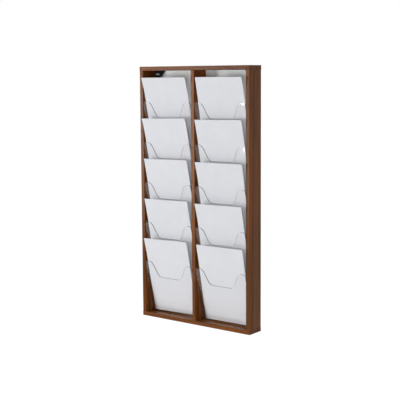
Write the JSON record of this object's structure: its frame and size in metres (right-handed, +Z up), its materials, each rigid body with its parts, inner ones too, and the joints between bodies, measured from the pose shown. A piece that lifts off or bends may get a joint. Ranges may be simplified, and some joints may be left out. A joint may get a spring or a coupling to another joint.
{
  "type": "periodical display rack",
  "caption": "Wall-hung wooden rack with columns of clear leaning pockets that show blank A4 periodicals face out, one above another.",
  "frame": {"origin": "middle of the centre divider's back face, in the plane of the wall", "axes": "+Z up, +Y towards the wall, +X to the right for someone facing the rack"},
  "size_m": [0.512, 0.0883, 0.9744],
  "materials": {
    "stained_wood": "walnut stain, satin lacquer",
    "batten_wood": "plain planed wood",
    "clear_acrylic": "clear, polished",
    "blank_paper": "matt white",
    "hanger_black": "black powder coat",
    "screw_steel": "zinc plated"
  },
  "bodies": {
    "rack": {"left_side": "stained_wood", "centre_divider": "stained_wood", "right_side": "stained_wood", "top_rail": "stained_wood", "bottom_rail": "stained_wood", "batten_1": "batten_wood", "batten_2": "batten_wood", "batten_3": "batten_wood", "batten_4": "batten_wood", "batten_5": "batten_wood", "pocket_left_1": "clear_acrylic", "pocket_left_2": "clear_acrylic", "pocket_left_3": "clear_acrylic", "pocket_left_4": "clear_acrylic", "pocket_left_5": "clear_acrylic", "pocket_right_1": "clear_acrylic", "pocket_right_2": "clear_acrylic", "pocket_right_3": "clear_acrylic", "pocket_right_4": "clear_acrylic", "pocket_right_5": "clear_acrylic", "pocket_screw_left_1_1": "screw_steel", "pocket_screw_left_1_2": "screw_steel", "pocket_screw_left_2_1": "screw_steel", "pocket_screw_left_2_2": "screw_steel", "pocket_screw_left_3_1": "screw_steel", "pocket_screw_left_3_2": "screw_steel", "pocket_screw_left_4_1": "screw_steel", "pocket_screw_left_4_2": "screw_steel", "pocket_screw_left_5_1": "screw_steel", "pocket_screw_left_5_2": "screw_steel", "pocket_screw_right_1_1": "screw_steel", "pocket_screw_right_1_2": "screw_steel", "pocket_screw_right_2_1": "screw_steel", "pocket_screw_right_2_2": "screw_steel", "pocket_screw_right_3_1": "screw_steel", "pocket_screw_right_3_2": "screw_steel", "pocket_screw_right_4_1": "screw_steel", "pocket_screw_right_4_2": "screw_steel", "pocket_screw_right_5_1": "screw_steel", "pocket_screw_right_5_2": "screw_steel", "hanger_plate_left": "hanger_black", "hanger_plate_right": "hanger_black", "hanger_screw_left_1": "screw_steel", "hanger_screw_left_2": "screw_steel", "hanger_screw_left_3": "screw_steel", "hanger_screw_right_1": "screw_steel", "hanger_screw_right_2": "screw_steel", "hanger_screw_right_3": "screw_steel"},
    "periodical_left_1": {"periodical_left_1": "blank_paper"},
    "periodical_left_2": {"periodical_left_2": "blank_paper"},
    "periodical_left_3": {"periodical_left_3": "blank_paper"},
    "periodical_left_4": {"periodical_left_4": "blank_paper"},
    "periodical_left_5": {"periodical_left_5": "blank_paper"},
    "periodical_right_1": {"periodical_right_1": "blank_paper"},
    "periodical_right_2": {"periodical_right_2": "blank_paper"},
    "periodical_right_3": {"periodical_right_3": "blank_paper"},
    "periodical_right_4": {"periodical_right_4": "blank_paper"},
    "periodical_right_5": {"periodical_right_5": "blank_paper"}
  },
  "joints": [
    {"name": "lift_left_1", "type": "slide", "parent": "rack", "child": "periodical_left_1", "axis": [0, -0.1736, 0.9848], "range_m": [0, 0.22]},
    {"name": "lift_left_2", "type": "slide", "parent": "rack", "child": "periodical_left_2", "axis": [0, -0.1736, 0.9848], "range_m": [0, 0.22]},
    {"name": "lift_left_3", "type": "slide", "parent": "rack", "child": "periodical_left_3", "axis": [0, -0.1736, 0.9848], "range_m": [0, 0.22]},
    {"name": "lift_left_4", "type": "slide", "parent": "rack", "child": "periodical_left_4", "axis": [0, -0.1736, 0.9848], "range_m": [0, 0.22]},
    {"name": "lift_left_5", "type": "slide", "parent": "rack", "child": "periodical_left_5", "axis": [0, -0.1736, 0.9848], "range_m": [0, 0.22]},
    {"name": "lift_right_1", "type": "slide", "parent": "rack", "child": "periodical_right_1", "axis": [0, -0.1736, 0.9848], "range_m": [0, 0.22]},
    {"name": "lift_right_2", "type": "slide", "parent": "rack", "child": "periodical_right_2", "axis": [0, -0.1736, 0.9848], "range_m": [0, 0.22]},
    {"name": "lift_right_3", "type": "slide", "parent": "rack", "child": "periodical_right_3", "axis": [0, -0.1736, 0.9848], "range_m": [0, 0.22]},
    {"name": "lift_right_4", "type": "slide", "parent": "rack", "child": "periodical_right_4", "axis": [0, -0.1736, 0.9848], "range_m": [0, 0.22]},
    {"name": "lift_right_5", "type": "slide", "parent": "rack", "child": "periodical_right_5", "axis": [0, -0.1736, 0.9848], "range_m": [0, 0.22]}
  ]
}
